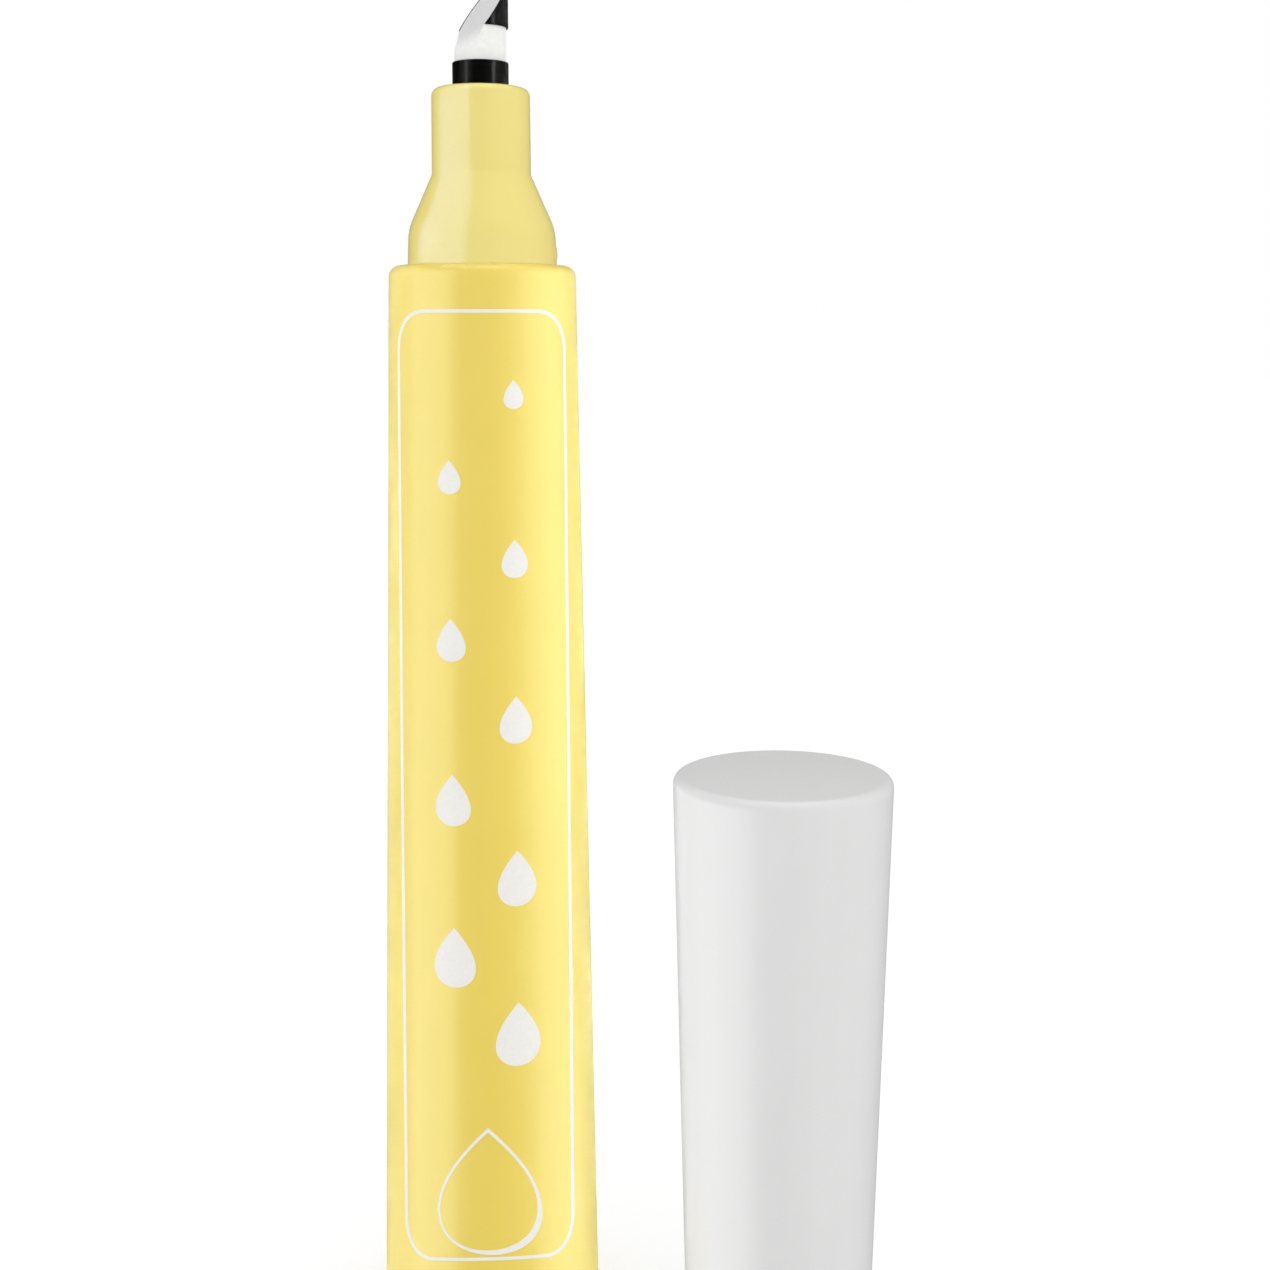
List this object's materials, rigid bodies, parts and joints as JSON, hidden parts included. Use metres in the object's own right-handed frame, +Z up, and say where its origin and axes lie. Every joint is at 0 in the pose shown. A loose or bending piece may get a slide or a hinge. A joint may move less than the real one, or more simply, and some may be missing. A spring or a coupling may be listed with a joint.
{
  "type": "cuticle remover pen",
  "caption": "Tapered pen on its flat base with a slant-cut nib, fibre reservoir and snap-in neck, its flared cap standing beside it.",
  "frame": {"origin": "centre of the pen's flat base, on the surface it stands on", "axes": "+Z up the pen's axis to its nib, +X to the side where the cap stands, -Y towards the side that carries the print"},
  "size_m": [0.0391, 0.0227, 0.1042],
  "materials": {
    "barrel_yellow": "satin moulded plastic",
    "plug_yellow": "satin moulded plastic",
    "reservoir_fibre": "bonded fibre",
    "reservoir_film": "thin clear film",
    "neck_yellow": "satin moulded plastic",
    "nib_white": "porous sintered nib",
    "nib_black": "smooth black skin",
    "cap_white": "satin moulded plastic",
    "liner_natural": "natural moulded plastic"
  },
  "bodies": {
    "pen": {"barrel": "barrel_yellow", "rear_plug": "plug_yellow", "reservoir_core": "reservoir_fibre", "reservoir_wrap": "reservoir_film", "neck": "neck_yellow", "nib_core": "nib_white", "nib_collar": "nib_black", "nib_sleeve": "nib_black"},
    "cap": {"cap_shell": "cap_white", "cap_liner": "liner_natural"}
  },
  "joints": [
    {"name": "cap_lift", "type": "slide", "parent": "pen", "child": "cap", "axis": [0, 0, 1], "range_m": [0, 0.106]}
  ]
}
